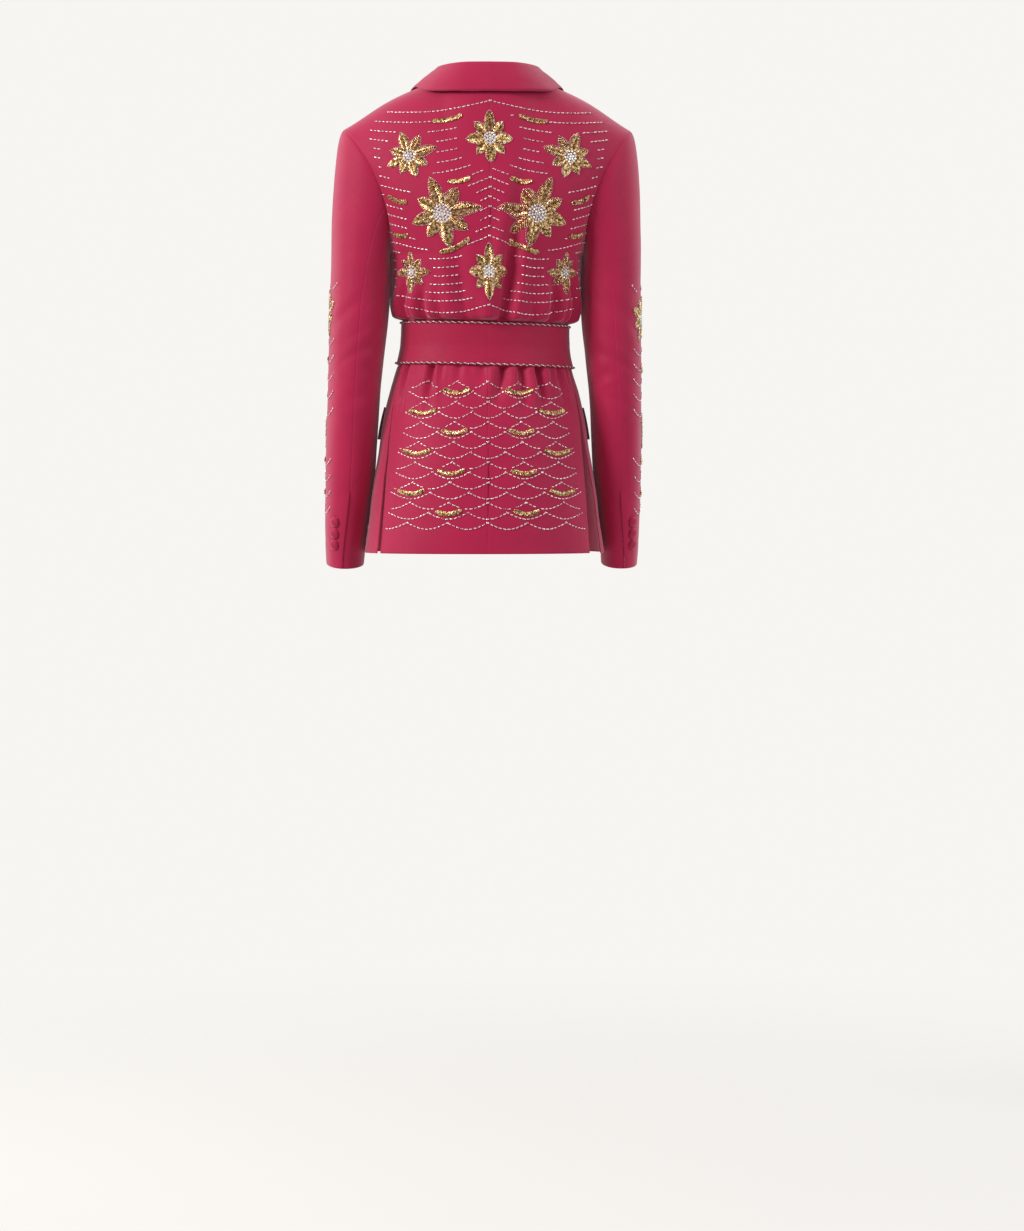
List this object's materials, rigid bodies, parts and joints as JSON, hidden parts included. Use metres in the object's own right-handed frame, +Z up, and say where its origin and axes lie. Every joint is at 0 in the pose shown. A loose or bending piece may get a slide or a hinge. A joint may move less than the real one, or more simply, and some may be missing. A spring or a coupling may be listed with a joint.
{
  "type": "embroidered jacket",
  "caption": "Tailored jacket in raspberry crepe with notched lapels, a wide belt with beaded edging, a flared skirt with side vents, and two-piece sleeves.",
  "frame": {"origin": "in the middle of the neck opening, at the height of the neck points, where the shoulders carry the jacket", "axes": "+Z up; the front faces -Y; the wearer's left is +X"},
  "size_m": [0.474, 0.2727, 0.752],
  "materials": {
    "crepe": "fine matte crepe with a soft sheen",
    "belt_crepe": "smooth crepe, doubled and pressed",
    "silver_beads": "silver-lined glass seed beads",
    "gold_beads": "gold bugle beads",
    "crystal": "faceted crystal stones"
  },
  "bodies": {
    "root": {"back_left": "crepe", "front_left": "crepe", "sleeve_top_left": "crepe", "sleeve_under_left": "crepe", "lapel_left": "crepe", "pocket_flap_left": "crepe", "cuff_button_left_1": "crepe", "cuff_button_left_2": "crepe", "cuff_button_left_3": "crepe", "back_right": "crepe", "front_right": "crepe", "sleeve_top_right": "crepe", "sleeve_under_right": "crepe", "lapel_right": "crepe", "pocket_flap_right": "crepe", "cuff_button_right_1": "crepe", "cuff_button_right_2": "crepe", "cuff_button_right_3": "crepe", "collar": "crepe", "belt": "belt_crepe", "belt_edging_upper": "silver_beads", "belt_edging_lower": "silver_beads"}
  },
  "joints": []
}
